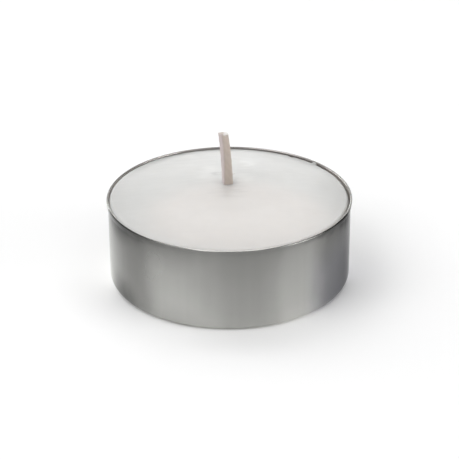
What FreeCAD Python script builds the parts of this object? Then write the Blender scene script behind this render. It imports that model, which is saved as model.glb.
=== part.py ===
import FreeCAD, Part
import math
import os
import Sketcher

# Tea light candle: a drawn aluminium cup with a hemmed rim, a body of white paraffin wax, a waxed
# cotton wick and the steel sustainer that holds the wick's foot under the wax.
# Millimetres. The origin is the centre of the cup's underside, +Z is up, and -Y is the front.

# Driving dimensions
SIZES = {
    "cup_diameter": 37.56,
    "cup_height": 13.5,
    "cup_sheet": 0.1,
    "cup_corner_radius": 1.3,
    "hem_bend_radius": 0.06,
    "hem_height": 0.85,
    "hem_edge_gap": 0.02,
    "wax_side_gap": 0.26,
    "wax_offset_left": 0.15,
    "wax_edge_drop": 0.08,
    "wax_crown_rise": 1.66,
    "wax_shoulder_radius": 0.65,
    "wick_side": 1.43,
    "wick_corner_radius": 0.35,
    "wick_turn_degrees": 24,
    "wick_stand_out": 8.12,
    "wick_bend_depth": 2.4,
    "wick_bend_radius": 88,
    "wick_offset_left": 0.24,
    "wick_offset_back": 1.75,
    "wick_clearance": 0.06,
    "sustainer_diameter": 12.7,
    "sustainer_sheet": 0.25,
    "sustainer_neck_height": 3,
    "sustainer_root_radius": 0.4,
    "sustainer_clearance": 0.05,
}

# Sizes that follow from the driving ones
WALL_OUTSIDE = "(Sizes.cup_diameter / 2)"
WALL_INSIDE = f"({WALL_OUTSIDE} - Sizes.cup_sheet)"
INNER_CORNER = "(Sizes.cup_corner_radius - Sizes.cup_sheet)"
WAX_RADIUS = f"({WALL_INSIDE} - Sizes.wax_side_gap)"
WAX_EDGE = "(Sizes.cup_height - Sizes.wax_edge_drop)"
WAX_TOP = f"({WAX_EDGE} + Sizes.wax_crown_rise)"
CROWN_RADIUS = f"(({WAX_RADIUS} ^ 2 + Sizes.wax_crown_rise ^ 2) / (2 * Sizes.wax_crown_rise))"
WICK_REACH = "((Sizes.wick_side / 2 - Sizes.wick_corner_radius) * sqrt(2) + Sizes.wick_corner_radius)"
WICK_BORE = f"({WICK_REACH} + Sizes.wick_clearance)"
NECK_RADIUS = f"({WICK_BORE} + Sizes.sustainer_sheet)"
NECK_TOP = "(Sizes.sustainer_sheet + Sizes.sustainer_neck_height)"
DISC_ROOM = "(Sizes.sustainer_diameter / 2 + Sizes.sustainer_clearance)"
SHELF_HEIGHT = "(Sizes.cup_sheet + Sizes.sustainer_sheet + Sizes.sustainer_clearance)"
NECK_ROOM = f"({NECK_RADIUS} + Sizes.sustainer_clearance)"
NECK_ROOM_TOP = f"(Sizes.cup_sheet + {NECK_TOP} + Sizes.sustainer_clearance)"
ROOT_ROOM = "(Sizes.sustainer_root_radius - Sizes.sustainer_clearance)"
BORE_TOP = f"({WAX_TOP} + Sizes.wick_clearance)"

START, END, CENTRE = range(1, 4)
ORIGIN = (-1, 1)
X_AXIS = (-1,)
Z_AXIS = (-2,)


def make_sizes(doc):
    sheet = doc.addObject("Spreadsheet::Sheet", "Sizes")
    for row, (alias, value) in enumerate(SIZES.items(), start=1):
        sheet.set(f"A{row}", alias)
        sheet.set(f"B{row}", str(value))
        sheet.setAlias(f"B{row}", alias)
    doc.recompute()
    return sheet


def value_of(sheet, expression):
    return float(sheet.evalExpression(expression))


def new_body(doc, label):
    body = doc.addObject("PartDesign::Body", label)
    body.Label = label
    return body


def new_sketch(body, plane, name):
    sketch = body.newObject("Sketcher::SketchObject", name)
    for feature in body.Origin.OriginFeatures:
        if feature.Role == plane:
            sketch.AttachmentSupport = [(feature, "")]
    sketch.MapMode = "FlatFace"
    return sketch


def line(x1, y1, x2, y2):
    return Part.LineSegment(FreeCAD.Vector(x1, y1, 0), FreeCAD.Vector(x2, y2, 0))


def arc(x, y, radius, start, end):
    circle = Part.Circle(FreeCAD.Vector(x, y, 0), FreeCAD.Vector(0, 0, 1), radius)
    return Part.ArcOfCircle(circle, start, end)


def join(sketch, kind, first, second):
    sketch.addConstraint(Sketcher.Constraint(kind, *first, *second))


def dimension(sketch, name, expression, kind, *where):
    value = float(sketch.evalExpression(expression))
    index = sketch.addConstraint(Sketcher.Constraint(kind, *where, value))
    sketch.renameConstraint(index, name)
    sketch.setExpression(f"Constraints.{name}", expression)


def revolve(body, profile, name):
    turned = body.newObject("PartDesign::Revolution", name)
    turned.Profile = profile
    turned.ReferenceAxis = (profile, ["V_Axis"])
    turned.Angle = 360
    return turned


def make_cup(doc, sheet):
    """One aluminium sheet: flat floor, rounded corner, straight wall, edge folded over outwards."""
    body = new_body(doc, "cup")
    section = new_sketch(body, "XZ_Plane", "cup_section")
    wall = value_of(sheet, WALL_OUTSIDE)
    thick = value_of(sheet, "Sizes.cup_sheet")
    corner = value_of(sheet, "Sizes.cup_corner_radius")
    bend = value_of(sheet, "Sizes.hem_bend_radius")
    bend_height = value_of(sheet, "Sizes.cup_height - Sizes.hem_bend_radius - Sizes.cup_sheet")
    edge_height = value_of(sheet, "Sizes.cup_height - Sizes.hem_height")
    edge_gap = value_of(sheet, "Sizes.hem_edge_gap")

    # The flap leans in from the bend, so that its cut edge lies against the wall
    across = edge_gap - bend
    down = bend_height - edge_height
    lean = math.atan2(down, across) - math.acos(bend / math.hypot(across, down))
    outward = (math.cos(lean), -math.sin(lean))
    bend_x = wall + bend
    flap_top = (bend_x + bend * outward[0], bend_height + bend * outward[1])
    flap_foot = (wall + edge_gap, edge_height)
    outer_top = (flap_top[0] + thick * outward[0], flap_top[1] + thick * outward[1])
    outer_foot = (flap_foot[0] + thick * outward[0], flap_foot[1] + thick * outward[1])

    section.addGeometry([
        line(0, 0, wall - corner, 0),
        arc(wall - corner, corner, corner, 1.5 * math.pi, 2 * math.pi),
        line(wall, corner, wall, bend_height),
        arc(bend_x, bend_height, bend, -lean, math.pi),
        line(*flap_top, *flap_foot),
        line(*flap_foot, *outer_foot),
        line(*outer_foot, *outer_top),
        arc(bend_x, bend_height, bend + thick, -lean, math.pi),
        line(wall - thick, bend_height, wall - thick, corner),
        arc(wall - corner, corner, corner - thick, 1.5 * math.pi, 2 * math.pi),
        line(wall - corner, thick, 0, thick),
        line(0, thick, 0, 0),
    ])
    under, outer_corner, outer_wall, inner_bend, flap_in, cut_edge = range(6)
    flap_out, outer_bend, inner_wall, inner_corner, floor, middle = range(6, 12)
    join(section, "Coincident", (under, START), ORIGIN)
    join(section, "Tangent", (under, END), (outer_corner, START))
    join(section, "Tangent", (outer_corner, END), (outer_wall, START))
    join(section, "Tangent", (outer_wall, END), (inner_bend, END))
    join(section, "Tangent", (inner_bend, START), (flap_in, START))
    join(section, "Coincident", (flap_in, END), (cut_edge, START))
    join(section, "Coincident", (cut_edge, END), (flap_out, START))
    join(section, "Tangent", (flap_out, END), (outer_bend, START))
    join(section, "Tangent", (outer_bend, END), (inner_wall, START))
    join(section, "Tangent", (inner_wall, END), (inner_corner, END))
    join(section, "Tangent", (inner_corner, START), (floor, START))
    join(section, "Coincident", (floor, END), (middle, START))
    join(section, "Coincident", (middle, END), (under, START))
    join(section, "Coincident", (inner_bend, CENTRE), (outer_bend, CENTRE))
    join(section, "Coincident", (outer_corner, CENTRE), (inner_corner, CENTRE))
    join(section, "Horizontal", (under,), ())
    join(section, "Horizontal", (floor,), ())
    join(section, "Vertical", (outer_wall,), ())
    join(section, "Vertical", (inner_wall,), ())
    join(section, "Vertical", (middle,), ())
    join(section, "Perpendicular", (flap_in,), (cut_edge,))
    join(section, "Parallel", (flap_in,), (flap_out,))
    dimension(section, "wall", WALL_OUTSIDE, "DistanceX", *ORIGIN, outer_wall, START)
    dimension(section, "corner", "Sizes.cup_corner_radius", "Radius", outer_corner)
    dimension(section, "inside_corner", INNER_CORNER, "Radius", inner_corner)
    dimension(section, "bend", "Sizes.hem_bend_radius", "Radius", inner_bend)
    dimension(section, "bend_height", "Sizes.cup_height - Sizes.hem_bend_radius - Sizes.cup_sheet",
              "DistanceY", *ORIGIN, inner_bend, CENTRE)
    dimension(section, "edge_height", "Sizes.cup_height - Sizes.hem_height",
              "DistanceY", *ORIGIN, flap_in, END)
    dimension(section, "edge_place", f"{WALL_OUTSIDE} + Sizes.hem_edge_gap",
              "DistanceX", *ORIGIN, flap_in, END)
    revolve(body, section, "cup_drawn")
    return body


def make_wax(doc, sheet):
    """Solid wax, crowned on top, a little off the cup's axis, with room for sustainer and wick."""
    body = new_body(doc, "wax")
    body.setExpression("Placement.Base.x", "-Sizes.wax_offset_left")
    section = new_sketch(body, "XZ_Plane", "wax_section")
    radius = value_of(sheet, WAX_RADIUS)
    floor_height = value_of(sheet, "Sizes.cup_sheet")
    foot = value_of(sheet, INNER_CORNER)
    shoulder = value_of(sheet, "Sizes.wax_shoulder_radius")
    top = value_of(sheet, WAX_TOP)
    crown = value_of(sheet, CROWN_RADIUS)
    crown_centre = top - crown
    shoulder_x = radius - shoulder
    shoulder_y = crown_centre + math.sqrt((crown - shoulder) ** 2 - shoulder_x ** 2)
    slope = math.atan2(shoulder_y - crown_centre, shoulder_x)
    crown_edge = (crown * math.cos(slope), crown_centre + crown * math.sin(slope))
    section.addGeometry([
        line(0, floor_height, radius - foot, floor_height),
        arc(radius - foot, floor_height + foot, foot, 1.5 * math.pi, 2 * math.pi),
        line(radius, floor_height + foot, radius, shoulder_y),
        arc(shoulder_x, shoulder_y, shoulder, 0, slope),
        arc(0, crown_centre, crown, slope, math.pi / 2),
        line(0, top, 0, floor_height),
    ])
    under, foot_corner, side, shoulder_bend, crown_bend, middle = range(6)
    join(section, "Tangent", (under, END), (foot_corner, START))
    join(section, "Tangent", (foot_corner, END), (side, START))
    join(section, "Tangent", (side, END), (shoulder_bend, START))
    join(section, "Tangent", (shoulder_bend, END), (crown_bend, START))
    join(section, "Coincident", (crown_bend, END), (middle, START))
    join(section, "Coincident", (middle, END), (under, START))
    join(section, "PointOnObject", (under, START), Z_AXIS)
    join(section, "PointOnObject", (crown_bend, END), Z_AXIS)
    join(section, "PointOnObject", (crown_bend, CENTRE), Z_AXIS)
    join(section, "Horizontal", (under,), ())
    join(section, "Vertical", (side,), ())
    dimension(section, "floor", "Sizes.cup_sheet", "DistanceY", *ORIGIN, under, START)
    dimension(section, "radius", WAX_RADIUS, "DistanceX", *ORIGIN, side, START)
    dimension(section, "foot", INNER_CORNER, "Radius", foot_corner)
    dimension(section, "shoulder", "Sizes.wax_shoulder_radius", "Radius", shoulder_bend)
    dimension(section, "crown", CROWN_RADIUS, "Radius", crown_bend)
    dimension(section, "top", WAX_TOP, "DistanceY", *ORIGIN, crown_bend, END)
    cast = revolve(body, section, "wax_cast")
    room = body.newObject("PartDesign::Groove", "wick_room")
    room.Profile = make_room_section(body, sheet)
    room.ReferenceAxis = (room.Profile[0], ["V_Axis"])
    room.Angle = 360
    doc.recompute()
    if room.Shape.Volume >= cast.Shape.Volume:
        raise RuntimeError("the room for the wick and sustainer was not cut")
    return body


def make_room_section(body, sheet):
    """Half section of the hollow that the wick and the sustainer leave in the wax."""
    section = new_sketch(body, "XZ_Plane", "room_section")
    section.setExpression("AttachmentOffset.Base.x", "Sizes.wax_offset_left - Sizes.wick_offset_left")
    section.setExpression("AttachmentOffset.Base.z", "-Sizes.wick_offset_back")
    disc = value_of(sheet, DISC_ROOM)
    shelf = value_of(sheet, SHELF_HEIGHT)
    neck = value_of(sheet, NECK_ROOM)
    shoulder = value_of(sheet, NECK_ROOM_TOP)
    bore = value_of(sheet, WICK_BORE)
    top = value_of(sheet, BORE_TOP)
    root = value_of(sheet, ROOT_ROOM)
    section.addGeometry([
        line(0, 0, disc, 0),
        line(disc, 0, disc, shelf),
        line(disc, shelf, neck + root, shelf),
        arc(neck + root, shelf + root, root, math.pi, 1.5 * math.pi),
        line(neck, shelf + root, neck, shoulder),
        line(neck, shoulder, bore, shoulder),
        line(bore, shoulder, bore, top),
        line(bore, top, 0, top),
        line(0, top, 0, 0),
    ])
    under, disc_side, shelf_line, root_bend, neck_side, step, bore_side, mouth, middle = range(9)
    join(section, "Coincident", (under, START), ORIGIN)
    join(section, "Coincident", (under, END), (disc_side, START))
    join(section, "Coincident", (disc_side, END), (shelf_line, START))
    join(section, "Tangent", (shelf_line, END), (root_bend, END))
    join(section, "Tangent", (root_bend, START), (neck_side, START))
    join(section, "Coincident", (neck_side, END), (step, START))
    join(section, "Coincident", (step, END), (bore_side, START))
    join(section, "Coincident", (bore_side, END), (mouth, START))
    join(section, "Coincident", (mouth, END), (middle, START))
    join(section, "Coincident", (middle, END), (under, START))
    for level in (under, shelf_line, step, mouth):
        join(section, "Horizontal", (level,), ())
    for upright in (disc_side, neck_side, bore_side, middle):
        join(section, "Vertical", (upright,), ())
    dimension(section, "disc", DISC_ROOM, "DistanceX", *ORIGIN, disc_side, END)
    dimension(section, "shelf", SHELF_HEIGHT, "DistanceY", *ORIGIN, disc_side, END)
    dimension(section, "root", ROOT_ROOM, "Radius", root_bend)
    dimension(section, "neck", NECK_ROOM, "DistanceX", *ORIGIN, neck_side, END)
    dimension(section, "step", NECK_ROOM_TOP, "DistanceY", *ORIGIN, neck_side, END)
    dimension(section, "bore", WICK_BORE, "DistanceX", *ORIGIN, bore_side, END)
    dimension(section, "mouth", BORE_TOP, "DistanceY", *ORIGIN, bore_side, END)
    return section


def make_wick(doc, sheet):
    """Square braid with rounded corners, upright in the wax and leaning to the left above it."""
    body = new_body(doc, "wick")
    outline = new_sketch(body, "XY_Plane", "wick_outline")
    corner = value_of(sheet, "Sizes.wick_corner_radius")
    flat = value_of(sheet, "Sizes.wick_side / 2 - Sizes.wick_corner_radius")
    turn = math.radians(value_of(sheet, "Sizes.wick_turn_degrees"))
    quarter = math.pi / 2
    for side in range(4):
        angle = turn + side * quarter
        along = FreeCAD.Vector(math.cos(angle), math.sin(angle), 0)
        out = FreeCAD.Vector(math.sin(angle), -math.cos(angle), 0)
        centre = along * flat + out * flat
        face = out * (flat + corner)
        outline.addGeometry([
            Part.LineSegment(face - along * flat, face + along * flat),
            arc(centre.x, centre.y, corner, angle - quarter, angle),
        ])
    for side in range(4):
        face, bend = 2 * side, 2 * side + 1
        next_face = (face + 2) % 8
        join(outline, "Tangent", (face, END), (bend, START))
        join(outline, "Tangent", (bend, END), (next_face, START))
        if side < 3:
            join(outline, "Perpendicular", (face,), (next_face,))
            join(outline, "Equal", (bend,), (bend + 2,))
    join(outline, "Equal", (0,), (2,))
    outline.addConstraint(Sketcher.Constraint("Symmetric", 1, CENTRE, 5, CENTRE, *ORIGIN))
    dimension(outline, "corner", "Sizes.wick_corner_radius", "Radius", 1)
    dimension(outline, "flat", "Sizes.wick_side - 2 * Sizes.wick_corner_radius", "Distance", 0)
    outline_turn = outline.addConstraint(Sketcher.Constraint("Angle", 0, turn))
    outline.renameConstraint(outline_turn, "turn")
    outline.setExpression("Constraints.turn", "Sizes.wick_turn_degrees * 1 deg")

    path = new_sketch(body, "XZ_Plane", "wick_path")
    bend_height = value_of(sheet, f"{WAX_TOP} - Sizes.wick_bend_depth - Sizes.cup_sheet")
    tip_height = value_of(sheet, f"{WAX_TOP} + Sizes.wick_stand_out - Sizes.cup_sheet")
    bend_radius = value_of(sheet, "Sizes.wick_bend_radius")
    lean = math.asin((tip_height - bend_height) / bend_radius)
    path.addGeometry([
        line(0, 0, 0, bend_height),
        arc(-bend_radius, bend_height, bend_radius, 0, lean),
    ])
    upright, leaning = 0, 1
    join(path, "Coincident", (upright, START), ORIGIN)
    join(path, "Vertical", (upright,), ())
    join(path, "Tangent", (upright, END), (leaning, START))
    dimension(path, "bend", "Sizes.wick_bend_radius", "Radius", leaning)
    dimension(path, "bend_height", f"{WAX_TOP} - Sizes.wick_bend_depth - Sizes.cup_sheet",
              "DistanceY", *ORIGIN, upright, END)
    dimension(path, "tip_height", f"{WAX_TOP} + Sizes.wick_stand_out - Sizes.cup_sheet",
              "DistanceY", *ORIGIN, leaning, END)
    doc.recompute()
    braid = body.newObject("PartDesign::AdditivePipe", "wick_braid")
    braid.Profile = outline
    braid.Spine = (path, ["Edge1", "Edge2"])
    stand_on_floor(body)
    return body


def make_sustainer(doc, sheet):
    """Steel disc with a drawn neck, on the cup's floor, round the wick's foot."""
    body = new_body(doc, "wick_sustainer")
    section = new_sketch(body, "XZ_Plane", "sustainer_section")
    disc = value_of(sheet, "Sizes.sustainer_diameter / 2")
    bore = value_of(sheet, WICK_BORE)
    neck = value_of(sheet, NECK_RADIUS)
    top = value_of(sheet, NECK_TOP)
    thick = value_of(sheet, "Sizes.sustainer_sheet")
    root = value_of(sheet, "Sizes.sustainer_root_radius")
    root_x, root_y = neck + root, thick + root
    section.addGeometry([
        line(disc, 0, root_x, 0),
        arc(root_x, root_y, thick + root, math.pi, 1.5 * math.pi),
        line(bore, root_y, bore, top),
        line(bore, top, neck, top),
        line(neck, top, neck, root_y),
        arc(root_x, root_y, root, math.pi, 1.5 * math.pi),
        line(root_x, thick, disc, thick),
        line(disc, thick, disc, 0),
    ])
    under, lower_root, bore_side, rim, neck_side, upper_root, disc_top, edge = range(8)
    join(section, "Tangent", (under, END), (lower_root, END))
    join(section, "Tangent", (lower_root, START), (bore_side, START))
    join(section, "Coincident", (bore_side, END), (rim, START))
    join(section, "Coincident", (rim, END), (neck_side, START))
    join(section, "Tangent", (neck_side, END), (upper_root, START))
    join(section, "Tangent", (upper_root, END), (disc_top, START))
    join(section, "Coincident", (disc_top, END), (edge, START))
    join(section, "Coincident", (edge, END), (under, START))
    join(section, "Coincident", (lower_root, CENTRE), (upper_root, CENTRE))
    join(section, "Vertical", (bore_side,), ())
    join(section, "Vertical", (neck_side,), ())
    join(section, "Vertical", (edge,), ())
    join(section, "Horizontal", (rim,), ())
    join(section, "Horizontal", (under,), ())
    join(section, "Horizontal", (disc_top,), ())
    join(section, "PointOnObject", (under, START), X_AXIS)
    dimension(section, "disc", "Sizes.sustainer_diameter / 2", "DistanceX", *ORIGIN, edge, END)
    dimension(section, "bore", WICK_BORE, "DistanceX", *ORIGIN, bore_side, END)
    dimension(section, "top", NECK_TOP, "DistanceY", *ORIGIN, bore_side, END)
    dimension(section, "root", "Sizes.sustainer_root_radius", "Radius", upper_root)
    dimension(section, "root_outside", "Sizes.sustainer_root_radius + Sizes.sustainer_sheet",
              "Radius", lower_root)
    revolve(body, section, "sustainer_drawn")
    stand_on_floor(body)
    return body


def stand_on_floor(body):
    """Stand a piece that was made on its own axis on the cup's floor, where the wick is."""
    body.setExpression("Placement.Base.x", "-Sizes.wick_offset_left")
    body.setExpression("Placement.Base.y", "Sizes.wick_offset_back")
    body.setExpression("Placement.Base.z", "Sizes.cup_sheet")


def check(doc, bodies):
    for item in doc.Objects:
        if "Invalid" in item.State or "Error" in item.State:
            raise RuntimeError(f"{item.Name} failed: {item.State}")
        if item.TypeId == "Sketcher::SketchObject" and not item.FullyConstrained:
            raise RuntimeError(f"{item.Name} is not fully constrained")
    for body in bodies:
        if body.Shape.isNull() or not body.Shape.isValid() or len(body.Shape.Solids) != 1:
            raise RuntimeError(f"{body.Label} is not one valid solid")


def main():
    doc = FreeCAD.newDocument("tea_light_candle")
    sheet = make_sizes(doc)
    bodies = [
        make_cup(doc, sheet),
        make_wax(doc, sheet),
        make_wick(doc, sheet),
        make_sustainer(doc, sheet),
    ]
    doc.recompute()
    check(doc, bodies)
    os.makedirs("parts", exist_ok=True)
    for body in bodies:
        body.Shape.exportStep(f"parts/{body.Label}.step")
        box = body.Shape.optimalBoundingBox()
        print(f"{body.Label}: {body.Shape.Volume:.3f} mm3, x {box.XMin:.3f} to {box.XMax:.3f}, "
              f"y {box.YMin:.3f} to {box.YMax:.3f}, z {box.ZMin:.3f} to {box.ZMax:.3f}")


main()
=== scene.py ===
import math

import bpy
from mathutils import Matrix, Vector, noise


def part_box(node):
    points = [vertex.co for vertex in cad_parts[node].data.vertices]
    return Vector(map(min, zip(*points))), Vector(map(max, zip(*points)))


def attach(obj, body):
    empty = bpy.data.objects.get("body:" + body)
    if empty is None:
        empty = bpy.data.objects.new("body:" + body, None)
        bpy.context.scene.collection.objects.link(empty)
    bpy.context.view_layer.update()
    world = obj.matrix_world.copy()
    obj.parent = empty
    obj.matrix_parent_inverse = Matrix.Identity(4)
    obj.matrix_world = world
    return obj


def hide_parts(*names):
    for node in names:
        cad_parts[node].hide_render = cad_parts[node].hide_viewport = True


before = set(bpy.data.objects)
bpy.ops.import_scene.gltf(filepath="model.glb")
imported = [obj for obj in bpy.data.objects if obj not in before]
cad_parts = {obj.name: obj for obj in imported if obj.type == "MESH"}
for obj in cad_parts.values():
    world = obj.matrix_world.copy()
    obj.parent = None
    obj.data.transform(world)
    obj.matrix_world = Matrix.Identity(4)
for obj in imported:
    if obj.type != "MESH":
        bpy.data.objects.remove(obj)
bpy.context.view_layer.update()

# The cup: drawn from one aluminium sheet a tenth of a millimetre thick, trimmed at the top and
# folded over outwards into a narrow hem that stiffens the edge. It stands on its flat floor and
# holds everything else.

MM = 0.001
cup_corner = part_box("cup")[1]
CUP_HEIGHT = cup_corner.z
RIM_RADIUS = cup_corner.x
SHEET = 0.1 * MM
CORNER_RADIUS = 1.3 * MM
HEM_BEND_RADIUS = 0.06 * MM
HEM_HEIGHT = 0.85 * MM
HEM_EDGE_GAP = 0.02 * MM
WALL_RADIUS = RIM_RADIUS - 2 * HEM_BEND_RADIUS - SHEET
CUP_TURN_STEPS = 384
DENT_DEPTH = 0.03 * MM
DENT_SIZE = 1.5385 * MM
RAGGED_SIZE = 2.381 * MM
CLOUD_SIZE = 9.091 * MM
ALUMINIUM = "#9B9B98"
ALUMINIUM_COOL = "#98989E"
ALUMINIUM_WARM = "#9E9A98"

# The real lines of the draw are a few hundredths of a millimetre wide. They are drawn as coarse as
# they have to be to show.
DRAW_LINE_SIZE = 0.9091 * MM
DRAW_LINE_STRETCH = 0.03

# Painted reflections of the studio: how light the metal is round the cup, in degrees from the front towards
# the right, and up it, in mm, where it is lighter towards the foot.
PAINTED_REFLECTION_BANDS = (
    (-180, 1.0), (-150, 0.85), (-120, 1.1), (-84, 1.7), (-77, 1.4), (-69, 0.98), (-62, 0.8), (-48, 0.68),
    (-28, 1.22), (-10, 1.05), (8, 0.88), (20, 0.98), (33, 1.22), (44, 0.98), (54, 0.56), (66, 0.36),
    (74, 0.29), (82, 0.65), (88, 1.0), (105, 1.2), (130, 0.85), (155, 1.1), (180, 1.0))
PAINTED_REFLECTION_BY_HEIGHT = (
    (0, 1.9), (1, 1.5), (2, 1.36), (4, 1.15), (6.5, 1.0), (9, 0.89), (12, 0.76), (13.2, 0.66), (14, 0.66))

# Painted shade on the wall, mostly in a band under the hem and low at the left, and painted shade on the
# grazing shine at the right: the middle in degrees and mm, the half sizes, and what is left of the light.
PAINTED_SHADE_PATCHES = (
    ((-61, 0.8, 0), (20, 5, 1), 0.36),
    ((-66, 13.4, 0), (26, 4.5, 1), 0.28),
    ((-30, 14, 0), (30, 6, 1), 0.7),
    ((-28, 0, 0), (26, 5, 1), 0.74),
    ((75, 13.5, 0), (20, 7, 1), 0.42),
    ((-62, 13.2, 0), (26, 1.9, 1), 0.42),
    ((-42, 13.3, 0), (20, 1.2, 1), 0.7),
    ((-71, 12.8, 0), (7, 0.7, 1), 0.55),
    ((68, 13.3, 0), (20, 2.6, 1), 0.3),
    ((56, 13.0, 0), (20, 1.0, 1), 0.75),
    ((48, 13.3, 0), (18, 1.2, 1), 0.5))
PAINTED_GRAZING_SHADE_PATCHES = (
    ((72, 5, 0), (15, 13, 1), 0.74),
    ((70, 13.6, 0), (18, 3.4, 1), 0.45))

# The crest of the hem: how far its bare metal goes past the wall, in mm, from left to right, and its painted
# highlight from front to back, lighter at the front than at the back.
CREST_WIDTH = (
    (-19, 0.2), (-18.6, 0.18), (-17.8, 0.03), (-9, 0.03), (-3, 0.19), (3, 0.19), (9, 0.03), (16.8, 0.03),
    (18.2, 0.18), (19, 0.2))
CREST_PAINTED_HIGHLIGHT = (
    (-19, 2.0), (-18, 1.85), (-15.5, 1.5), (-10, 1.65), (-5, 1.95), (0, 1.5), (8, 0.85), (19, 0.85))
# The inside is lighter by painted light, which lifts the shade in the narrow gap by the wax.
INSIDE_PAINTED_LIGHT = 2.5
# The trimmed edge of the flap carries a painted highlight.
TRIMMED_EDGE_PAINTED_HIGHLIGHT = 1.3
TRIMMED_EDGE_HEIGHT = 12.72


def arc_points(centre, radius, start, end, steps):
    """Points on an arc of the cup's section, as (distance from the axis, height). Angles in degrees."""
    points = []
    for step in range(steps + 1):
        angle = math.radians(start + (end - start) * step / steps)
        points.append((centre[0] + radius * math.cos(angle), centre[1] + radius * math.sin(angle)))
    return points


def straight_points(start, end, steps):
    """Points on a straight stretch of a section, without its first point."""
    return [(start[0] + (end[0] - start[0]) * step / steps, start[1] + (end[1] - start[1]) * step / steps)
            for step in range(1, steps + 1)]


def cup_section():
    """The sheet's outline from the middle of the underside, over the hem, to the middle of the floor."""
    bend_centre = (WALL_RADIUS + HEM_BEND_RADIUS, CUP_HEIGHT - HEM_BEND_RADIUS - SHEET)
    flap_foot = (WALL_RADIUS + HEM_EDGE_GAP, CUP_HEIGHT - HEM_HEIGHT)
    across = flap_foot[0] - bend_centre[0]
    down = bend_centre[1] - flap_foot[1]
    lean = math.atan2(down, across) - math.acos(HEM_BEND_RADIUS / math.hypot(across, down))
    outer_foot = (flap_foot[0] + SHEET * math.cos(lean), flap_foot[1] - SHEET * math.sin(lean))
    lean_degrees = math.degrees(lean)
    corner_centre = (WALL_RADIUS - CORNER_RADIUS, CORNER_RADIUS)
    points = [(0, 0)]
    points += straight_points((0, 0), (corner_centre[0], 0), 8)
    points += arc_points(corner_centre, CORNER_RADIUS, -90, 0, 12)[1:]
    points += straight_points((WALL_RADIUS, CORNER_RADIUS), (WALL_RADIUS, bend_centre[1]), 40)
    points += arc_points(bend_centre, HEM_BEND_RADIUS, 180, -lean_degrees, 8)[1:]
    points += straight_points(points[-1], flap_foot, 6)
    points += [outer_foot]
    outer_bend = arc_points(bend_centre, HEM_BEND_RADIUS + SHEET, -lean_degrees, 180, 16)
    points += straight_points(outer_foot, outer_bend[0], 6)
    points += outer_bend[1:]
    inside = WALL_RADIUS - SHEET
    points += straight_points((inside, bend_centre[1]), (inside, CORNER_RADIUS), 24)
    points += arc_points(corner_centre, CORNER_RADIUS - SHEET, 0, -90, 8)[1:]
    points += straight_points((corner_centre[0], SHEET), (0, SHEET), 6)
    return points


def add(tree, kind, inputs=None, **settings):
    """Add a node with its settings. An input takes a value, a socket, or a node's first output in use."""
    node = tree.nodes.new(kind)
    for name, value in settings.items():
        setattr(node, name, value)
    for key, value in (inputs or {}).items():
        if isinstance(value, bpy.types.Node):
            value = next(output for output in value.outputs if output.enabled)
        if isinstance(value, bpy.types.NodeSocket):
            tree.links.new(value, node.inputs[key])
        else:
            node.inputs[key].default_value = value
    return node


def linear(hex_colour):
    """A written sRGB colour as the linear values that shaders take."""
    channels = [int(hex_colour[place:place + 2], 16) / 255 for place in (1, 3, 5)]
    return (*[c / 12.92 if c <= 0.04045 else ((c + 0.055) / 1.055) ** 2.4 for c in channels], 1)


def new_material(name):
    """A node material whose tree is empty."""
    material = bpy.data.materials.new(name)
    material.use_nodes = True
    material.node_tree.nodes.clear()
    return material, material.node_tree


def shaded(material, inputs):
    """The material with its Principled shader, linked to the output."""
    shader = add(material.node_tree, "ShaderNodeBsdfPrincipled", inputs)
    add(material.node_tree, "ShaderNodeOutputMaterial", {"Surface": shader})
    return material


def finished_mesh(name, made_by):
    """A plain mesh object from one whose modifier makes the shape, which is then thrown away."""
    depsgraph = bpy.context.evaluated_depsgraph_get()
    mesh = bpy.data.meshes.new_from_object(made_by.evaluated_get(depsgraph))
    made_by.modifiers.clear()
    bpy.data.objects.remove(made_by)
    mesh.name = name
    piece = bpy.data.objects.new(name, mesh)
    bpy.context.scene.collection.objects.link(piece)
    return piece


def smooth_factor(tree, value, stops):
    """A smooth curve through (value, factor) stops, as nodes. Factors go up to 2."""
    low, high = stops[0][0], stops[-1][0]
    share = add(tree, "ShaderNodeMapRange", {"Value": value, "From Min": low, "From Max": high})
    curve = add(tree, "ShaderNodeFloatCurve", {"Value": share})
    points = curve.mapping.curves[0].points
    points[0].location = (0, stops[0][1] / 2)
    points[1].location = (1, stops[-1][1] / 2)
    for at, factor in stops[1:-1]:
        points.new((at - low) / (high - low), factor / 2)
    curve.mapping.update()
    return add(tree, "ShaderNodeMath", {0: curve, 1: 2}, operation="MULTIPLY")


def with_patches(tree, tone, place, patches):
    """A tone that soft-edged patches make darker or lighter. Each has a middle, half sizes and a factor."""
    for middle, half, left in patches:
        away = add(tree, "ShaderNodeVectorMath", {0: place, 1: middle}, operation="SUBTRACT")
        share = add(tree, "ShaderNodeVectorMath", {0: away, 1: half}, operation="DIVIDE")
        reach = add(tree, "ShaderNodeVectorMath", {0: share}, operation="LENGTH")
        patch = add(tree, "ShaderNodeMapRange", {"Value": reach, "To Min": left, "To Max": 1},
                    interpolation_type="SMOOTHSTEP")
        tone = add(tree, "ShaderNodeMath", {0: tone, 1: patch}, operation="MULTIPLY")
    return tone


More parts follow.
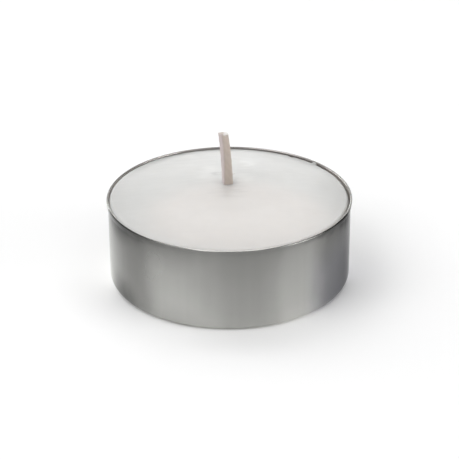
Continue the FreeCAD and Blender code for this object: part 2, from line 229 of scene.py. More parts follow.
def wall_tone(tree, degrees, height, cloud, lines, on_wall):
    """How light the drawn wall is: painted reflections in bands and up it, painted shade, fine upright
    lines.
    """
    wander = add(tree, "ShaderNodeMath", {0: cloud, 1: 10, 2: -5}, operation="MULTIPLY_ADD")
    wandered = add(tree, "ShaderNodeMath", {0: degrees, 1: wander}, operation="ADD")
    # Painted reflections: bands round the wall, lighter towards the foot, and a painted highlight along the
    # foot's edge.
    tone = smooth_factor(tree, wandered, PAINTED_REFLECTION_BANDS)
    reflection_by_height = smooth_factor(tree, height, PAINTED_REFLECTION_BY_HEIGHT)
    painted_foot_highlight = add(tree, "ShaderNodeMapRange", {
        "Value": height, "From Min": 0.7, "From Max": 0.15, "To Min": 1, "To Max": 1.4})
    for factor in (reflection_by_height, painted_foot_highlight):
        tone = add(tree, "ShaderNodeMath", {0: tone, 1: factor}, operation="MULTIPLY")
    # Painted shade in soft patches.
    tone = with_patches(tree, tone, on_wall, PAINTED_SHADE_PATCHES)
    lined = add(tree, "ShaderNodeMapRange", {
        "Value": lines, "From Min": 0.3, "From Max": 0.7, "To Min": 0.98, "To Max": 1.02})
    return add(tree, "ShaderNodeMath", {0: tone, 1: lined}, operation="MULTIPLY")


def cup_tone(tree, wall, spot, radius, outside):
    """The wall's tone outside, with painted light on the inside, and painted highlights on the hem's crest
    and its trimmed edge.
    """
    below_top = add(tree, "ShaderNodeMapRange", {
        "Value": spot.outputs["Z"], "From Min": 13.46, "From Max": 13.36})
    past_wall = add(tree, "ShaderNodeMath", {0: radius, 1: WALL_RADIUS / MM}, operation="SUBTRACT")
    crest_width = smooth_factor(tree, spot.outputs["X"], CREST_WIDTH)
    past_crest = add(tree, "ShaderNodeMath", {0: past_wall, 1: crest_width}, operation="SUBTRACT")
    over = add(tree, "ShaderNodeMapRange", {"Value": past_crest, "From Min": 0, "From Max": 0.06})
    off_crest = add(tree, "ShaderNodeMath", {0: below_top, 1: over}, operation="MAXIMUM")
    drawn = add(tree, "ShaderNodeMath", {0: outside, 1: off_crest}, operation="MULTIPLY")
    # A painted highlight on the crest, and painted light on the inside.
    crest = smooth_factor(tree, spot.outputs["Y"], CREST_PAINTED_HIGHLIGHT)
    bare = add(tree, "ShaderNodeMix", {"Factor": below_top, "A": crest, "B": INSIDE_PAINTED_LIGHT})
    tone = add(tree, "ShaderNodeMix", {"Factor": drawn, "A": bare, "B": wall})

    # A painted highlight along the trimmed edge of the flap, where the wall turns away at the sides.
    sideways = add(tree, "ShaderNodeMath", {0: spot.outputs["X"]}, operation="ABSOLUTE")
    at_side = add(tree, "ShaderNodeMapRange", {"Value": sideways, "From Min": 16.9, "From Max": 18.5})
    off_edge = add(tree, "ShaderNodeMath", {0: spot.outputs["Z"], 1: TRIMMED_EDGE_HEIGHT},
                   operation="SUBTRACT")
    off_edge = add(tree, "ShaderNodeMath", {0: off_edge}, operation="ABSOLUTE")
    trimmed = add(tree, "ShaderNodeMapRange", {
        "Value": off_edge, "From Min": 0.16, "From Max": 0.08, "To Max": 0.9})
    painted_edge_highlight = add(tree, "ShaderNodeMath", {0: trimmed, 1: at_side}, operation="MULTIPLY")
    return add(tree, "ShaderNodeMix", {"Factor": painted_edge_highlight, "A": tone, "B": TRIMMED_EDGE_PAINTED_HIGHLIGHT})


def sheet_colour(tree, spot, outside):
    """The sheet's grey: a little bluer low down at the front right, and warmer inside, a painted reflection
    of the wax.
    """
    right_side = add(tree, "ShaderNodeMapRange", {
        "Value": spot.outputs["X"], "From Min": 11, "From Max": 17})
    low_down = add(tree, "ShaderNodeMapRange", {"Value": spot.outputs["Z"], "From Min": 12, "From Max": 7})
    nearer = add(tree, "ShaderNodeMapRange", {"Value": spot.outputs["Y"], "From Min": 7, "From Max": 1})
    bluish = add(tree, "ShaderNodeMath", {0: right_side, 1: low_down}, operation="MULTIPLY")
    bluish = add(tree, "ShaderNodeMath", {0: bluish, 1: nearer}, operation="MULTIPLY")
    sheet = add(tree, "ShaderNodeMix", {
        "Factor": bluish, "A": linear(ALUMINIUM), "B": linear(ALUMINIUM_COOL)}, data_type="RGBA")
    # Painted reflection of the wax: warmer inside.
    inside = add(tree, "ShaderNodeMath", {0: 1, 1: outside}, operation="SUBTRACT")
    return add(tree, "ShaderNodeMix", {
        "Factor": inside, "A": sheet, "B": linear(ALUMINIUM_WARM)}, data_type="RGBA")


def rolled_aluminium():
    """Rolled aluminium, drawn to shape: satin grey with painted reflections of the studio in soft upright
    bands, lighter towards the foot, and patches of painted shade under the hem and low at the left."""
    material, tree = new_material("rolled_aluminium_drawn")
    place = add(tree, "ShaderNodeTexCoord").outputs["Object"]
    in_mm = add(tree, "ShaderNodeVectorMath", {0: place, "Scale": 1 / MM}, operation="SCALE")
    spot = add(tree, "ShaderNodeSeparateXYZ", {"Vector": in_mm})
    height = spot.outputs["Z"]
    to_front = add(tree, "ShaderNodeMath", {0: spot.outputs["Y"], 1: -1}, operation="MULTIPLY")
    turn = add(tree, "ShaderNodeMath", {0: spot.outputs["X"], 1: to_front}, operation="ARCTAN2")
    degrees = add(tree, "ShaderNodeMath", {0: turn}, operation="DEGREES")

    # The place on the wall in degrees and mm, shifted a little so that the patches have ragged edges.
    straight = add(tree, "ShaderNodeCombineXYZ", {"X": degrees, "Y": height})
    ragged = add(tree, "ShaderNodeTexNoise", {"Vector": place, "Scale": 1 / RAGGED_SIZE, "Detail": 4})
    centred = add(tree, "ShaderNodeVectorMath", {0: ragged.outputs["Color"], 1: (0.5, 0.5, 0.5)},
                  operation="SUBTRACT")
    shift = add(tree, "ShaderNodeVectorMath", {0: centred, 1: (9, 1.6, 0)}, operation="MULTIPLY")
    on_wall = add(tree, "ShaderNodeVectorMath", {0: straight, 1: shift}, operation="ADD")

    cloud = add(tree, "ShaderNodeTexNoise", {"Vector": place, "Scale": 1 / CLOUD_SIZE, "Detail": 2})
    drawn_out = add(tree, "ShaderNodeVectorMath", {0: place, 1: (1, 1, DRAW_LINE_STRETCH)},
                    operation="MULTIPLY")
    lines = add(tree, "ShaderNodeTexNoise", {"Vector": drawn_out, "Scale": 1 / DRAW_LINE_SIZE, "Detail": 3})
    wall = wall_tone(tree, degrees, height, cloud, lines, on_wall)

    # Outside is past the middle of the sheet, and below the inside of the floor.
    level = add(tree, "ShaderNodeVectorMath", {0: in_mm, 1: (1, 1, 0)}, operation="MULTIPLY")
    radius = add(tree, "ShaderNodeVectorMath", {0: level}, operation="LENGTH")
    past_middle = add(tree, "ShaderNodeMapRange", {
        "Value": radius, "From Min": (WALL_RADIUS - 0.7 * SHEET) / MM,
        "From Max": (WALL_RADIUS - 0.3 * SHEET) / MM})
    at_foot = add(tree, "ShaderNodeMapRange", {"Value": height, "From Min": 1.5, "From Max": 1.3})
    outside = add(tree, "ShaderNodeMath", {0: past_middle, 1: at_foot}, operation="MAXIMUM")

    metal = add(tree, "ShaderNodeVectorMath", {
        0: sheet_colour(tree, spot, outside),
        "Scale": cup_tone(tree, wall, spot, radius, outside)}, operation="SCALE")
    return shaded(material, {
        "Base Color": metal,
        "Metallic": 1,
        "Roughness": add(tree, "ShaderNodeMapRange", {"Value": cloud, "To Min": 0.21, "To Max": 0.3}),
        # Painted shade on the grazing shine at the right.
        "Specular Tint": with_patches(tree, 1, on_wall, PAINTED_GRAZING_SHADE_PATCHES),
        "Normal": add(tree, "ShaderNodeBump", {"Height": lines, "Strength": 0.3, "Distance": 0.008 * MM})})


def turned_cup_tree(material):
    """Turns the section about the axis and presses soft dents into the wall just under the hem."""
    tree = bpy.data.node_groups.new("turned_cup", "GeometryNodeTree")
    face = tree.interface
    face.new_socket("Section", in_out="INPUT", socket_type="NodeSocketGeometry")
    face.new_socket("Turn steps", in_out="INPUT", socket_type="NodeSocketInt")
    face.new_socket("Dent depth", in_out="INPUT", socket_type="NodeSocketFloat")
    face.new_socket("Dent size", in_out="INPUT", socket_type="NodeSocketFloat")
    face.new_socket("Geometry", in_out="OUTPUT", socket_type="NodeSocketGeometry")
    given = add(tree, "NodeGroupInput")
    axis = add(tree, "GeometryNodeCurvePrimitiveCircle", {
        "Resolution": given.outputs["Turn steps"], "Radius": 1e-9})
    turned = add(tree, "GeometryNodeCurveToMesh", {"Curve": axis, "Profile Curve": given.outputs["Section"]})
    merged = add(tree, "GeometryNodeMergeByDistance", {"Geometry": turned, "Distance": 1e-7})

    # Dents: soft hollows in a strip under the hem, away from the middle of the front and of the back.
    position = add(tree, "GeometryNodeInputPosition")
    spot = add(tree, "ShaderNodeSeparateXYZ", {"Vector": position})
    squashed = add(tree, "ShaderNodeVectorMath", {0: position, 1: (1, 1, 0.55)}, operation="MULTIPLY")
    closeness = add(tree, "ShaderNodeMath", {0: 1, 1: given.outputs["Dent size"]}, operation="DIVIDE")
    lumps = add(tree, "ShaderNodeTexNoise", {"Vector": squashed, "Scale": closeness, "Detail": 1})
    hollow = add(tree, "ShaderNodeMapRange", {"Value": lumps, "From Min": 0.4, "From Max": 0.75},
                 interpolation_type="SMOOTHSTEP")
    rising = add(tree, "ShaderNodeMapRange", {
        "Value": spot.outputs["Z"], "From Min": 10.4 * MM, "From Max": 12.1 * MM},
        interpolation_type="SMOOTHSTEP")
    falling = add(tree, "ShaderNodeMapRange", {
        "Value": spot.outputs["Z"], "From Min": 12.95 * MM, "From Max": 12.5 * MM},
        interpolation_type="SMOOTHSTEP")
    sideways = add(tree, "ShaderNodeMath", {0: spot.outputs["X"]}, operation="ABSOLUTE")
    at_side = add(tree, "ShaderNodeMapRange", {
        "Value": sideways, "From Min": 7.5 * MM, "From Max": 11.5 * MM}, interpolation_type="SMOOTHSTEP")
    depth = given.outputs["Dent depth"]
    for share in (rising, falling, at_side, hollow):
        depth = add(tree, "ShaderNodeMath", {0: depth, 1: share}, operation="MULTIPLY")
    inward = add(tree, "ShaderNodeMath", {0: depth, 1: -1}, operation="MULTIPLY")
    level = add(tree, "ShaderNodeVectorMath", {0: position, 1: (1, 1, 0)}, operation="MULTIPLY")
    outward = add(tree, "ShaderNodeVectorMath", {0: level}, operation="NORMALIZE")
    push = add(tree, "ShaderNodeVectorMath", {0: outward, "Scale": inward}, operation="SCALE")
    dented = add(tree, "GeometryNodeSetPosition", {"Geometry": merged, "Offset": push})
    real = add(tree, "GeometryNodeRealizeInstances", {"Geometry": dented})
    finish = add(tree, "GeometryNodeSetMaterial", {"Geometry": real, "Material": material})
    add(tree, "NodeGroupOutput", {"Geometry": finish})
    return tree


def section_curve(name, points):
    """A section as a curve to turn: its X is the distance from the axis and its Y is downwards."""
    curve = bpy.data.curves.new(name, "CURVE")
    curve.dimensions = "3D"
    spline = curve.splines.new("POLY")
    spline.points.add(len(points) - 1)
    for point, (distance, height) in zip(spline.points, points):
        point.co = (distance, -height, 0, 1)
    carrier = bpy.data.objects.new(name, curve)
    bpy.context.scene.collection.objects.link(carrier)
    return carrier


def set_input(modifier, name, value):
    """Set a Geometry Nodes input by its socket's identifier."""
    for item in modifier.node_group.interface.items_tree:
        if item.name == name and item.in_out == "INPUT":
            modifier[item.identifier] = value


cup_maker = section_curve("cup_section", cup_section())
cup_modifier = cup_maker.modifiers.new("turned", "NODES")
cup_modifier.node_group = turned_cup_tree(rolled_aluminium())
set_input(cup_modifier, "Turn steps", CUP_TURN_STEPS)
set_input(cup_modifier, "Dent depth", DENT_DEPTH)
set_input(cup_modifier, "Dent size", DENT_SIZE)
cup = finished_mesh("drawn_cup", cup_maker)
cup.data.shade_smooth()
cup.data.set_sharp_from_angle(angle=math.radians(50))
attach(cup, "root")
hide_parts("cup")

# The wick sustainer: a small disc of tinned sheet steel with a short neck that holds the wick's
# foot. It stands on the cup's floor inside the wax, so it keeps the shape of its solid.

TIN_CLOUD_SIZE = 1.111 * MM
TIN_DARK = "#A6A7A6"
TIN_LIGHT = "#B6B6B4"


def tinned_steel():
    """Tinned sheet steel, pressed: a bright grey with a soft, slightly clouded shine."""
    material, tree = new_material("tinned_steel_pressed")
    place = add(tree, "ShaderNodeTexCoord").outputs["Object"]
    cloud = add(tree, "ShaderNodeTexNoise", {"Vector": place, "Scale": 1 / TIN_CLOUD_SIZE, "Detail": 3})
    return shaded(material, {
        "Base Color": add(tree, "ShaderNodeMix", {
            "Factor": cloud, "A": linear(TIN_DARK), "B": linear(TIN_LIGHT)}, data_type="RGBA"),
        "Metallic": 1,
        "Roughness": add(tree, "ShaderNodeMapRange", {"Value": cloud, "To Min": 0.26, "To Max": 0.4})})


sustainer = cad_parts["wick_sustainer"]
sustainer.data.materials.clear()
sustainer.data.materials.append(tinned_steel())

# The wax: white paraffin, one solid block that stands in the cup a hair's breadth from the wall.
# Its top is a low crown with a soft shoulder, chipped a little at the edge, and dips at the wick.

WAX_CENTRE = Vector((-0.15 * MM, 0, 0))
WAX_RADIUS = 18.42 * MM
WAX_REACH_RIGHT = 0.16 * MM
WAX_RIGHT_TURN = math.radians(-38)
LEDGE_RADIUS = 18.62 * MM
CROWN_TOP = 15.08 * MM
CROWN_RISE = 1.66 * MM
CROWN_RADIUS = (WAX_RADIUS ** 2 + CROWN_RISE ** 2) / (2 * CROWN_RISE)
SHOULDER_WIDTH = 0.9 * MM
SHOULDER_DROP = 0.5 * MM
SIDE_FOOT = 12.6 * MM
FOOT_RADIUS = 1.1 * MM
DIP_DEPTH = 0.16 * MM
DIP_RADIUS = 1.9 * MM
SPLASH_TURN = math.radians(41)
SPLASH_HALF_TURN = 0.014
SPLASH_REACH = 0.34 * MM
SPLASH_HEIGHT = 0.55 * MM
WICK_FOOT = Vector((-0.24 * MM, 1.75 * MM, 0))
WICK_SIDE = 1.5 * MM
WICK_CORNER = 0.32 * MM
WICK_FOOT_TURN = math.radians(14)
BORE_SCALE = 1.01
WAX_TURN_STEPS = 320
CROWN_RINGS = 44
SHOULDER_RINGS = 24

# Shares of the way from the wick to the wax's edge: close rings in the dip, then even ones.
DIP_SHARES = (0, 0.003, 0.007, 0.012, 0.018, 0.026, 0.036, 0.048, 0.062, 0.078, 0.096, 0.116, 0.14)
CROWN_END = 0.9

# The wax's base colour in front, and behind the wick with a cooler painted sheen.
WAX_FRONT = "#D8D5D2"
WAX_BACK = "#D1D1CF"
WAX_CLOUD_MM = 2.857
WAX_STREAK_MM = (3.571, 0.8333, 1.25)

# Painted light and shade on the wax: the wick's shadow in front of it, highlights behind it, shade towards
# the cup and some mottling: the middle and half sizes in mm, and what is left of the light.
WAX_PAINTED_LIGHT_PATCHES = (
    ((-0.2, -0.9, 15), (3.6, 4.4, 5), 0.86),
    ((-1.9, 4.9, 15), (1.0, 1.3, 5), 0.87),
    ((-2.6, 7.0, 15), (3.0, 2.6, 5), 1.12),
    ((-3.8, 4.0, 15), (3.6, 3.0, 5), 1.1),
    ((3.0, 9.3, 15), (2.0, 2.6, 5), 1.12),
    ((2.0, 3.5, 15), (3.2, 2.7, 5), 1.13),
    ((17.5, 2, 15), (6, 15, 5), 0.87),
    ((-12, 13, 15), (8, 6, 5), 0.92),
    ((11, 14, 15), (9, 6, 5), 0.87))


def soft_step(low, high, value):
    """0 below low, 1 above high and a smooth rise between them."""
    share = min(1, max(0, (value - low) / (high - low)))
    return share * share * (3 - 2 * share)


def rounded_square(side, corner, turn, steps):
    """Points round a rounded square, evenly spaced in angle from its middle, as (x, y)."""
    points = []
    flat = side / 2 - corner
    for step in range(steps):
        angle = 2 * math.pi * step / steps
        direction = Vector((math.cos(angle - turn), math.sin(angle - turn)))
        across = Vector((abs(direction.x), abs(direction.y)))
        if across.x * flat >= across.y * side / 2 or across.y * flat >= across.x * side / 2:
            reach = side / 2 / max(across)
        else:
            middle = Vector((flat, flat))
            along = across.dot(middle)
            inside = along * along - middle.length_squared + corner * corner
            reach = along + math.sqrt(max(0, inside))
            if reach * across.x > side / 2 or reach * across.y > side / 2:
                reach = side / 2 / max(across)
        points.append((reach * math.cos(angle), reach * math.sin(angle)))
    return points


def ring_spot(centre, reach, turn):
    """A place at a distance and an angle from a centre, as seen from above."""
    return Vector((centre.x + reach * math.cos(turn), centre.y + reach * math.sin(turn)))


def wax_radius(turn):
    """The wax's radius at an angle: it comes a little nearer to the wall at the front right."""
    return WAX_RADIUS + WAX_REACH_RIGHT * max(0, math.cos(turn - WAX_RIGHT_TURN)) ** 3


def wax_top(x, y):
    """Height of the wax's top at a place: crown, shoulder, dip at the wick and small unevenness."""
    from_middle = math.hypot(x - WAX_CENTRE.x, y - WAX_CENTRE.y)
    edge_radius = wax_radius(math.atan2(y - WAX_CENTRE.y, x - WAX_CENTRE.x))
    height = CROWN_TOP - CROWN_RADIUS + math.sqrt(CROWN_RADIUS ** 2 - from_middle ** 2)

    # The shoulder is widest at the back, and tight at the front and the sides.
    soft = 0.5 + 0.5 * soft_step(-2 * MM, 14 * MM, y) * (1 - 0.8 * soft_step(5 * MM, 13 * MM, abs(x)))
    width = SHOULDER_WIDTH * soft
    into = max(0, (from_middle - (edge_radius - width)) / width)
    height -= SHOULDER_DROP * (0.2 + 0.8 * soft) * (1 - math.sqrt(max(0, 1 - min(1, into) ** 2)))
    from_wick = math.hypot(x - WICK_FOOT.x, y - WICK_FOOT.y)
    height -= DIP_DEPTH * math.exp(-(from_wick / DIP_RADIUS) ** 2)

    # Unevenness: two sizes of soft waves, and chips along the edge, deepest at the back right.
    place = Vector((x, y, 0)) / MM
    calm = 1 - 0.7 * soft_step(0.7, 1, into)
    height += 0.035 * MM * calm * noise.noise(place * 0.16)
    height += 0.018 * MM * calm * noise.noise(place * 0.45 + Vector((3, 8, 0)))
    at_edge = soft_step(WAX_RADIUS - 1.5 * MM, WAX_RADIUS - 0.3 * MM, from_middle)
    back_right = soft_step(6 * MM, 10 * MM, x) * soft_step(2 * MM, 7 * MM, y)
    chip = max(0, noise.noise(place * 0.75 + Vector((5, 1, 0))) - 0.05)
    height -= at_edge * chip * (0.04 + 0.2 * back_right) * MM
    return height


def wax_block():
    """Closed rings from the wick's bore out over the top, down the side and in under the block."""
    bore = rounded_square(WICK_SIDE, WICK_CORNER, WICK_FOOT_TURN, WAX_TURN_STEPS)
    turns = [2 * math.pi * step / WAX_TURN_STEPS for step in range(WAX_TURN_STEPS)]
    bore_wall = [WICK_FOOT.xy + Vector(spot) * BORE_SCALE for spot in bore]
    rings = []
    for depth in (9.0, 4.0, 0.8, 0.25):
        rings.append([(*wall, wax_top(WICK_FOOT.x + x, WICK_FOOT.y + y) - depth * MM)
                      for wall, (x, y) in zip(bore_wall, bore)])
    crown_step = (CROWN_END - DIP_SHARES[-1]) / CROWN_RINGS
    shares = list(DIP_SHARES) + [DIP_SHARES[-1] + crown_step * step for step in range(1, CROWN_RINGS + 1)]
    for share in shares:
        ring = []
        for turn, inner in zip(turns, bore_wall):
            spot = inner.lerp(ring_spot(WAX_CENTRE, wax_radius(turn), turn), share)
            ring.append((*spot, wax_top(*spot)))
        rings.append(ring)

    # The shoulder, with one small splash that lies over the rim at the back right.
    crown_edge = rings[-1]
    for step in range(1, SHOULDER_RINGS + 1):
        share = math.sin(math.pi / 2 * step / SHOULDER_RINGS)
        ring = []
        for turn, start in zip(turns, crown_edge):
            outer = ring_spot(WAX_CENTRE, wax_radius(turn) * (1 - 1e-5), turn)
            spot = Vector(start[:2]).lerp(outer, share)
            height = wax_top(*spot)
            splash = math.exp(-((turn - SPLASH_TURN) / SPLASH_HALF_TURN) ** 2) * soft_step(0.6, 1, share)
            spot += spot.normalized() * (SPLASH_REACH * splash)
            ring.append((*spot, height + SPLASH_HEIGHT * splash))
        rings.append(ring)

    # The side, the foot's round and the hollow for the sustainer, back to the bore.
    rings.append([(*ring_spot(WAX_CENTRE, wax_radius(turn), turn), SIDE_FOOT) for turn in turns])
    axis = Vector((0, 0, 0))
    for height in (12.45, 11.5, 9, 6, 3.5, 1.25):
        rings.append([(*ring_spot(axis, LEDGE_RADIUS, turn), height * MM) for turn in turns])
    for step in range(1, 7):
        angle = math.pi / 2 * step / 6
        reach = LEDGE_RADIUS - FOOT_RADIUS + FOOT_RADIUS * math.cos(angle)
        height = SHEET + FOOT_RADIUS - FOOT_RADIUS * math.sin(angle)
        rings.append([(*ring_spot(axis, reach, turn), height) for turn in turns])
    for reach, height in ((6.5, 0.1), (6.5, 0.45), (1.7, 0.45), (1.7, 3.5), (1.1, 3.6)):
        rings.append([(*ring_spot(WICK_FOOT, reach * MM, turn), height * MM) for turn in turns])

    points = [point for ring in rings for point in ring]
    faces = []
    for row in range(len(rings)):
        for step in range(WAX_TURN_STEPS):
            after = (step + 1) % WAX_TURN_STEPS
            below = (row + 1) % len(rings)
            faces.append((row * WAX_TURN_STEPS + step, below * WAX_TURN_STEPS + step,
                          below * WAX_TURN_STEPS + after, row * WAX_TURN_STEPS + after))
    mesh = bpy.data.meshes.new("wax_block")
    mesh.from_pydata(points, [], faces)
    mesh.shade_smooth()
    mesh.set_sharp_from_angle(angle=math.radians(50))
    return mesh


def paraffin_wax():
    """White paraffin, cast: light goes a little way in and comes out soft, under a dull skin. It carries
    painted shade towards the cup and in front of the wick, and painted light towards the front, the right
    and behind the wick."""
    material, tree = new_material("paraffin_wax_cast")
    place = add(tree, "ShaderNodeTexCoord").outputs["Object"]
    in_mm = add(tree, "ShaderNodeVectorMath", {0: place, "Scale": 1 / MM}, operation="SCALE")
    spot = add(tree, "ShaderNodeSeparateXYZ", {"Vector": in_mm})
    cloud = add(tree, "ShaderNodeTexNoise", {"Vector": in_mm, "Scale": 1 / WAX_CLOUD_MM, "Detail": 3})
    streak_place = add(tree, "ShaderNodeVectorMath", {0: in_mm, 1: WAX_STREAK_MM}, operation="DIVIDE")
    streaks = add(tree, "ShaderNodeTexNoise", {"Vector": streak_place, "Scale": 1, "Detail": 4})

    # The base: a little warmer in front of the wick than behind it, where a cooler painted sheen stands for
    # the light from behind.
    from_front = add(tree, "ShaderNodeVectorMath", {0: in_mm, 1: (1.5, -9.0, 15)}, operation="SUBTRACT")
    oval = add(tree, "ShaderNodeVectorMath", {0: from_front, 1: (14, 11, 20)}, operation="DIVIDE")
    from_oval = add(tree, "ShaderNodeVectorMath", {0: oval}, operation="LENGTH")
    behind = add(tree, "ShaderNodeMapRange", {"Value": from_oval, "From Min": 0.7, "From Max": 1.25},
                 interpolation_type="SMOOTHSTEP")
    base = add(tree, "ShaderNodeMix", {
        "Factor": behind, "A": linear(WAX_FRONT), "B": linear(WAX_BACK)}, data_type="RGBA")

    # The streaks make the edges of the painted light and shade ragged.
    ragged = add(tree, "ShaderNodeVectorMath", {0: streaks.outputs["Color"], 1: (0.5, 0.5, 0.5)},
                 operation="SUBTRACT")
    warp = add(tree, "ShaderNodeVectorMath", {0: ragged, 1: (4.0, 3.0, 0)}, operation="MULTIPLY")
    warped = add(tree, "ShaderNodeVectorMath", {0: in_mm, 1: warp}, operation="ADD")
    mottle = add(tree, "ShaderNodeMapRange", {"Value": cloud, "To Min": 0.96, "To Max": 1.04})
    # Painted light and shade in patches.
    tone = with_patches(tree, mottle, warped, WAX_PAINTED_LIGHT_PATCHES)

    # Painted shade towards the cup, a broad one and a narrow one along the far side, and painted light
    # towards the front and the right.
    level = add(tree, "ShaderNodeVectorMath", {0: in_mm, 1: (1, 1, 0)}, operation="MULTIPLY")
    radius = add(tree, "ShaderNodeVectorMath", {0: level}, operation="LENGTH")
    painted_light_front = add(tree, "ShaderNodeMapRange", {
        "Value": spot.outputs["Y"], "From Min": -3, "From Max": -14, "To Min": 1, "To Max": 1.08})
    painted_light_right = add(tree, "ShaderNodeMapRange", {
        "Value": spot.outputs["X"], "From Min": 2, "From Max": 15, "To Min": 1, "To Max": 1.06})
    painted_broad_shade = add(tree, "ShaderNodeMapRange", {
        "Value": radius, "From Min": 9, "From Max": 18.4, "To Min": 1, "To Max": 0.9},
        interpolation_type="SMOOTHSTEP")
    narrow = add(tree, "ShaderNodeMapRange", {"Value": radius, "From Min": 15.6, "From Max": 18.3},
                 interpolation_type="SMOOTHSTEP")
    far_side = add(tree, "ShaderNodeMapRange", {
        "Value": spot.outputs["Y"], "From Min": 6, "From Max": 16, "To Min": -0.03, "To Max": -0.56})
    painted_far_shade = add(tree, "ShaderNodeMath", {0: narrow, 1: far_side, 2: 1}, operation="MULTIPLY_ADD")
    for factor in (painted_light_front, painted_light_right, painted_broad_shade, painted_far_shade):
        tone = add(tree, "ShaderNodeMath", {0: tone, 1: factor}, operation="MULTIPLY")
    wax_colour = add(tree, "ShaderNodeVectorMath", {0: base, "Scale": tone}, operation="SCALE")

    # The skin: dull, with smoother streaks that shine a little more, and a fine unevenness. Less light goes
    # in and comes back along the far side, where its shade is painted.
    return shaded(material, {
        "Base Color": wax_colour,
        "Roughness": add(tree, "ShaderNodeMapRange", {
            "Value": streaks, "From Min": 0.35, "From Max": 0.7, "To Min": 0.5, "To Max": 0.3}),
        "IOR": 1.43,
        "Specular IOR Level": add(tree, "ShaderNodeMapRange", {
            "Value": painted_far_shade, "From Min": 0.5, "From Max": 0.95, "To Min": 0.05, "To Max": 0.5}),
        "Subsurface Weight": add(tree, "ShaderNodeMapRange", {
            "Value": painted_far_shade, "From Min": 0.5, "From Max": 0.95, "To Min": 0.15, "To Max": 0.8}),
        "Subsurface Radius": (1.0, 0.95, 0.9),
        "Subsurface Scale": 2.5 * MM,
        "Normal": add(tree, "ShaderNodeBump", {"Height": streaks, "Strength": 0.5, "Distance": 0.06 * MM})})


wax = bpy.data.objects.new("wax_fill", wax_block())
bpy.context.scene.collection.objects.link(wax)
wax.data.materials.append(paraffin_wax())
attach(wax, "root")
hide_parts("wax")

# The wick: a square braid of cotton, stiff with wax, cut off straight at the top. It comes up out
# of its sustainer through the wax and leans a little to the left.

WICK_TOP = 23.4 * MM
WICK_TOP_SIDE = 1.34 * MM
WICK_TOP_CORNER = 0.4 * MM
WICK_TOP_TURN = math.radians(38)
WICK_BEND_START = 12.68 * MM
WICK_BEND_RADIUS = 88 * MM
WICK_STEPS = 64
WICK_ROWS = 110
WICK_ROWS_START = 12.5 * MM
STRAND_RISE_MM = 1.15
STRAND_DEPTH = 0.008 * MM
UNEVEN_DEPTH = 0.018 * MM
CUT_SLOPE = 0.18
CHIP_DEPTH = 0.3 * MM
CHIP_PLACE = Vector((0.42 * MM, -0.45 * MM))
FIBRE_RADIUS = 0.045 * MM
FIBRE_SIDES = 6
FIBRE_ROWS = 6
COTTON_DARK = "#B4A89E"
COTTON_LIGHT = "#B8ACA2"
COTTON_PAINTED_LIGHT = "#C9BDBC"
COTTON_CUT = "#E2DFDC"
STRAND_SPACING = 1.496 * MM

# Loose fibres: the foot and the direction in mm, and the length in mm.
FIBRES = (((-0.85, 1.35, 22.75), (0.5, -0.5, 0.5), 0.75), ((0.3, 1.5, 16.4), (0.9, -0.5, 0.35), 0.75),
          ((-1.2, 1.5, 21.9), (-0.6, -0.6, 0.4), 0.6))


def wick_line(height):
    """The middle of the wick at a height: upright in the wax, then a slow arc towards the left."""
    above = max(0, height - WICK_BEND_START)
    lean = WICK_BEND_RADIUS - math.sqrt(WICK_BEND_RADIUS ** 2 - above ** 2)
    return Vector((WICK_FOOT.x - lean, WICK_FOOT.y, height))


def wick_ring(height):
    """The wick's outline at a height: a rounded square that turns and narrows towards the top."""
    share = soft_step(14 * MM, WICK_TOP, height)
    near_top = soft_step(WICK_TOP - 1.8 * MM, WICK_TOP, height)
    side = WICK_SIDE + (WICK_TOP_SIDE - WICK_SIDE) * share
    corner = WICK_CORNER + (WICK_TOP_CORNER - WICK_CORNER) * share
    turn = WICK_FOOT_TURN + (WICK_TOP_TURN - WICK_FOOT_TURN) * share
    ring = []
    for x, y in rounded_square(side, corner, turn, WICK_STEPS):
        spot = wick_line(height) + Vector((x, y, 0))
        place = spot / MM
        strand = math.sin(2 * math.pi * (place.z / STRAND_RISE_MM + math.atan2(y, x) / math.pi))
        uneven = STRAND_DEPTH * strand + UNEVEN_DEPTH * noise.noise(place * 0.9)
        spot += Vector((x, y, 0)).normalized() * uneven
        chip = math.exp(-((x - CHIP_PLACE.x) ** 2 + (y - CHIP_PLACE.y) ** 2) / (0.3 * MM) ** 2)
        spot.z -= near_top * (CUT_SLOPE * (y + 0.7 * MM) + CHIP_DEPTH * chip)
        ring.append(spot)
    return ring


def joined_rings(first, rows, steps):
    """Faces round a stack of rings of points, closed at both ends. The first point's number is given."""
    faces = []
    for row in range(rows - 1):
        for step in range(steps):
            here = first + row * steps + step
            after = first + row * steps + (step + 1) % steps
            faces.append((here, after, after + steps, here + steps))
    top = first + (rows - 1) * steps
    faces.append(tuple(first + step for step in reversed(range(steps))))
    faces.append(tuple(top + step for step in range(steps)))
    return faces


def fibre_points(foot, along, length):
    """Rings of a thin tapered thread that starts inside the braid and curls up a little."""
    points = []
    direction = Vector(along).normalized()
    across = direction.cross(Vector((0, 1, 0))).normalized()
    other = direction.cross(across)
    for row in range(FIBRE_ROWS):
        share = row / (FIBRE_ROWS - 1)
        centre = (Vector(foot) + direction * length * share + Vector((0, 0, 0.12 * share * share))) * MM
        half = FIBRE_RADIUS * (1 - 0.8 * share)
        for step in range(FIBRE_SIDES):
            angle = 2 * math.pi / FIBRE_SIDES * step
            points.append(tuple(centre + (across * math.cos(angle) + other * math.sin(angle)) * half))
    return points


